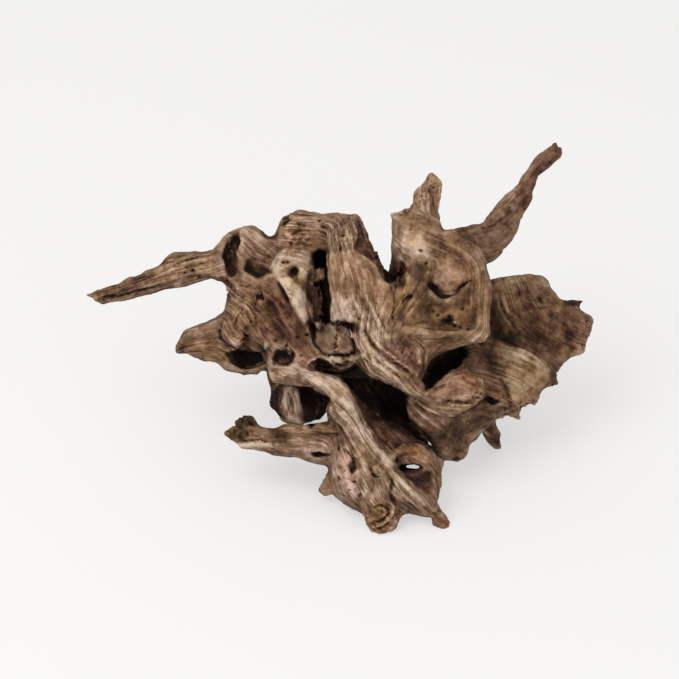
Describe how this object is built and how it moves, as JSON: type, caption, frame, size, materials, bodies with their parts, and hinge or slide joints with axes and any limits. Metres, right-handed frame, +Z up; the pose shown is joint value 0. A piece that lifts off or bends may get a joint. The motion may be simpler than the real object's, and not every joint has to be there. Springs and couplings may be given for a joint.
{
  "type": "driftwood",
  "caption": "Gnarled root stump of weathered driftwood with a hollowed crown, splayed roots and reaching side branches.",
  "frame": {"origin": "on the floor, under the middle of the bounding box", "axes": "+X along the longest extent, from the long side branch towards the fans; +Y away from the broad face, towards the hidden back; +Z up"},
  "size_m": [0.3446, 0.1978, 0.187],
  "materials": {
    "weathered_wood": "dry, matt, sea-worn and sun-bleached"
  },
  "bodies": {
    "root": {"driftwood": "weathered_wood"}
  },
  "joints": []
}
